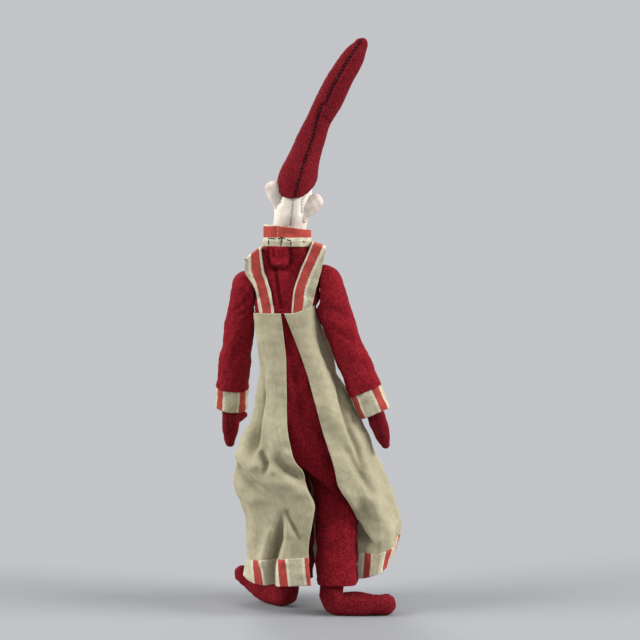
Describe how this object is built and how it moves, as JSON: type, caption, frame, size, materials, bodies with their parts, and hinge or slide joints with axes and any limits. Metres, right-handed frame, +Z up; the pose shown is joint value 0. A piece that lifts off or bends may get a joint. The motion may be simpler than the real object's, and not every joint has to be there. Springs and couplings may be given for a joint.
{
  "type": "pixie doll",
  "caption": "Stuffed cloth pixie doll in a red suit, a canvas pinafore open down the back with striped trim and a tall bent hat; head, arms, legs and hat tip move.",
  "frame": {"origin": "middle of the bounding box, on the ground under the feet", "axes": "+Z up, the face looks along -Y, the doll's own left is +X"},
  "size_m": [0.1158, 0.0643, 0.3585],
  "materials": {
    "calico": "matte plain cotton",
    "felt": "matte wool felt",
    "wool": "matte woven wool",
    "canvas": "matte woven cotton",
    "ticking": "matte striped cotton"
  },
  "bodies": {
    "body": {"torso": "calico", "bodice": "wool", "trouser_seat": "wool", "collar_band": "ticking", "left_strap": "ticking", "right_strap": "ticking", "pinafore_skirt": "canvas", "pinafore_hem_band": "ticking"},
    "head": {"head": "calico", "left_ear": "calico", "right_ear": "calico", "hat_base": "felt"},
    "hat_tip": {"hat_tip": "felt"},
    "left_arm": {"left_arm": "calico", "left_sleeve": "wool", "left_cuff": "ticking", "left_mitten": "felt"},
    "right_arm": {"right_arm": "calico", "right_sleeve": "wool", "right_cuff": "ticking", "right_mitten": "felt"},
    "left_leg": {"left_leg": "felt", "left_trouser_leg": "wool"},
    "right_leg": {"right_leg": "felt", "right_trouser_leg": "wool"}
  },
  "joints": [
    {"name": "neck_turn", "type": "hinge", "parent": "body", "child": "head", "pos_m": [0.012, 0.006, 0.23], "axis": [0, 0, 1], "range_deg": [-45, 45]},
    {"name": "hat_bend", "type": "hinge", "parent": "head", "child": "hat_tip", "pos_m": [-0.0063, 0.006, 0.307], "axis": [0, 1, 0], "range_deg": [-20, 30]},
    {"name": "left_shoulder_swing", "type": "hinge", "parent": "body", "child": "left_arm", "pos_m": [0.0365, 0.006, 0.204], "axis": [-1, 0, 0], "range_deg": [-40, 80]},
    {"name": "right_shoulder_swing", "type": "hinge", "parent": "body", "child": "right_arm", "pos_m": [-0.0105, 0.006, 0.204], "axis": [-1, 0, 0], "range_deg": [-40, 80]},
    {"name": "left_hip_swing", "type": "hinge", "parent": "body", "child": "left_leg", "pos_m": [0.01, 0.006, 0.0861], "axis": [-1, 0, 0], "range_deg": [-10, 10]},
    {"name": "right_hip_swing", "type": "hinge", "parent": "body", "child": "right_leg", "pos_m": [-0.01, 0.006, 0.0861], "axis": [-1, 0, 0], "range_deg": [-15, 15]}
  ]
}
